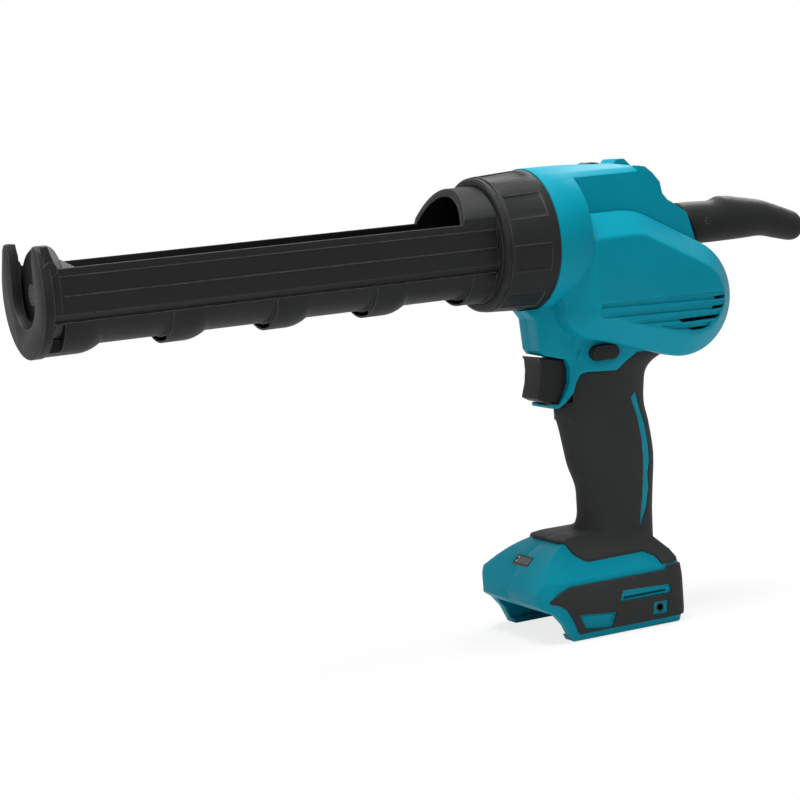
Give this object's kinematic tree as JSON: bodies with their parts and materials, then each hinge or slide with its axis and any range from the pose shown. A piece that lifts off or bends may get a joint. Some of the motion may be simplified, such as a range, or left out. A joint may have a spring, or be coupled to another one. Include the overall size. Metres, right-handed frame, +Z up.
{
  "type": "cordless caulking gun",
  "caption": "Cordless caulking tool: an open ribbed cartridge trough on a clamping collar, a motor housing, a toothed push rod with a pull handle, and a pistol grip on a battery foot.",
  "frame": {"origin": "on the push rod's axis, at the front face of the holder collar", "axes": "+X along the push rod to the pull handle, +Y to the tool's right side, +Z up"},
  "size_m": [0.4765, 0.0784, 0.259],
  "materials": {
    "teal_plastic": "moulded, satin",
    "black_plastic": "moulded, finely textured",
    "grey_plastic": "moulded, satin",
    "soft_rubber": "matt",
    "steel": "turned",
    "rod_steel": "drawn and dark",
    "bronze": "sintered",
    "iron": "stamped and stacked",
    "magnet": "ground",
    "carbon": "pressed",
    "board": "coated",
    "lens": "polished"
  },
  "bodies": {
    "tool": {"housing_left": "teal_plastic", "housing_right": "teal_plastic", "grip_left": "soft_rubber", "grip_right": "soft_rubber", "foot_bumper_left": "soft_rubber", "foot_bumper_right": "soft_rubber", "housing_screws": "steel", "nose_sleeve": "black_plastic", "rod_bush_front": "black_plastic", "rod_bush_rear": "black_plastic", "gear_plate_left": "steel", "gear_plate_right": "steel", "gear_bushes": "bronze", "motor_can": "steel", "motor_magnets": "magnet", "motor_end_cap": "black_plastic", "motor_brushes": "carbon", "motor_bearings": "steel", "switch_body": "black_plastic", "control_board": "board", "terminal_block": "black_plastic", "terminal_blades": "bronze", "indicator_window": "lens", "hook_inserts": "bronze"},
    "rod": {"rack_rod": "rod_steel", "piston": "black_plastic", "piston_ring": "grey_plastic", "piston_washer": "steel", "piston_screw": "steel", "rod_handle": "black_plastic", "handle_screws": "steel"},
    "holder": {"cartridge_holder": "black_plastic"},
    "collar": {"holder_collar": "black_plastic"},
    "rotor": {"motor_shaft": "steel", "armature": "iron", "commutator": "bronze", "cooling_fan": "black_plastic", "motor_pinion": "steel"},
    "first_wheel": {"first_gear": "steel", "first_pinion_shaft": "steel"},
    "second_wheel": {"second_gear": "steel", "second_pinion_shaft": "steel"},
    "final_wheel": {"final_gear": "steel"},
    "rack_wheel": {"rack_pinion_shaft": "steel", "clutch_dog": "steel"},
    "trigger_piece": {"trigger": "black_plastic"},
    "lock_piece": {"lock_button": "black_plastic"},
    "dial_piece": {"speed_dial": "black_plastic"}
  },
  "joints": [
    {"name": "rod_slide", "type": "slide", "parent": "tool", "child": "rod", "axis": [1, 0, 0], "range_m": [0, 0.225]},
    {"name": "rack_pinion_spin", "type": "hinge", "parent": "tool", "child": "rack_wheel", "pos_m": [0.062, 0, -0.0148], "axis": [0, 1, 0], "range_deg": [0, 1433]},
    {"name": "rotor_spin", "type": "hinge", "parent": "tool", "child": "rotor", "pos_m": [0.11602, 0, -0.0398], "axis": [0, 1, 0], "continuous": true},
    {"name": "first_gear_spin", "type": "hinge", "parent": "tool", "child": "first_wheel", "pos_m": [0.09499, 0, -0.0425], "axis": [0, 1, 0], "continuous": true},
    {"name": "second_gear_spin", "type": "hinge", "parent": "tool", "child": "second_wheel", "pos_m": [0.08301, 0, -0.02286], "axis": [0, 1, 0], "continuous": true},
    {"name": "final_gear_spin", "type": "hinge", "parent": "tool", "child": "final_wheel", "pos_m": [0.062, 0, -0.0148], "axis": [0, 1, 0], "continuous": true},
    {"name": "trigger_pull", "type": "slide", "parent": "tool", "child": "trigger_piece", "axis": [1, 0, 0], "range_m": [0, 0.0065], "stiffness_N_per_m": 1500, "springref_m": -0.003},
    {"name": "lock_slide", "type": "slide", "parent": "tool", "child": "lock_piece", "axis": [0, 1, 0], "range_m": [0, 0.004]},
    {"name": "dial_turn", "type": "hinge", "parent": "tool", "child": "dial_piece", "pos_m": [0.0765, 0, 0.02967], "axis": [0, 1, 0], "range_deg": [0, 150]},
    {"name": "collar_turn", "type": "hinge", "parent": "tool", "child": "collar", "pos_m": [0.0162, 0, 0], "axis": [1, 0, 0], "range_deg": [0, 90]},
    {"name": "holder_swivel", "type": "hinge", "parent": "tool", "child": "holder", "pos_m": [0, 0, 0], "axis": [1, 0, 0], "continuous": true}
  ],
  "couplings": [
    {"joint": "rack_pinion_spin", "follows": "rod_slide", "rad_per_m": 111.11},
    {"joint": "first_gear_spin", "follows": "rotor_spin", "ratio": -0.2619},
    {"joint": "second_gear_spin", "follows": "rotor_spin", "ratio": 0.092437},
    {"joint": "final_gear_spin", "follows": "rotor_spin", "ratio": -0.046218}
  ]
}
